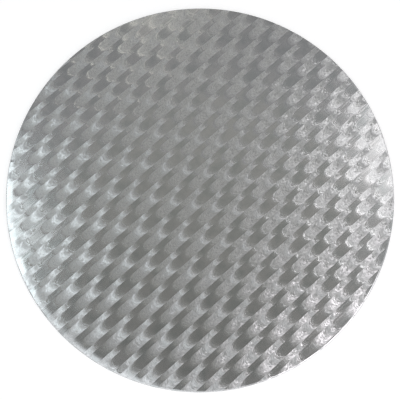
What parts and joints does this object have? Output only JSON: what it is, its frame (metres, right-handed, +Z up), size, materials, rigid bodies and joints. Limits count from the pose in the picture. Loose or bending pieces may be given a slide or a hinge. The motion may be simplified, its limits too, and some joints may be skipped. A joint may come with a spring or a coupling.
{
  "type": "round turned-edge cake board",
  "caption": "Thin round board for carrying a cake: rigid card disc wrapped in silver embossed foil with a rounded turned edge and a paper-backed underside.",
  "frame": {"origin": "centre of the underside, on the surface that the board stands on", "axes": "+Z up through the board's middle, out of the foil face; +X to the right and +Y away, as the picture shows the pattern's rows rising to the right"},
  "size_m": [0.254, 0.254, 0.0033],
  "materials": {
    "grey_board": "unbleached grey fibre board with a matt, slightly hairy surface",
    "silver_foil": "silver foil paper, mirror bright in places and finely frosted in others, with an engine-turned pattern of rows of round-nosed tongues",
    "white_paper": "plain white uncoated paper"
  },
  "bodies": {
    "root": {"core_board": "grey_board", "foil_cover": "silver_foil", "backing_paper": "white_paper"}
  },
  "joints": []
}
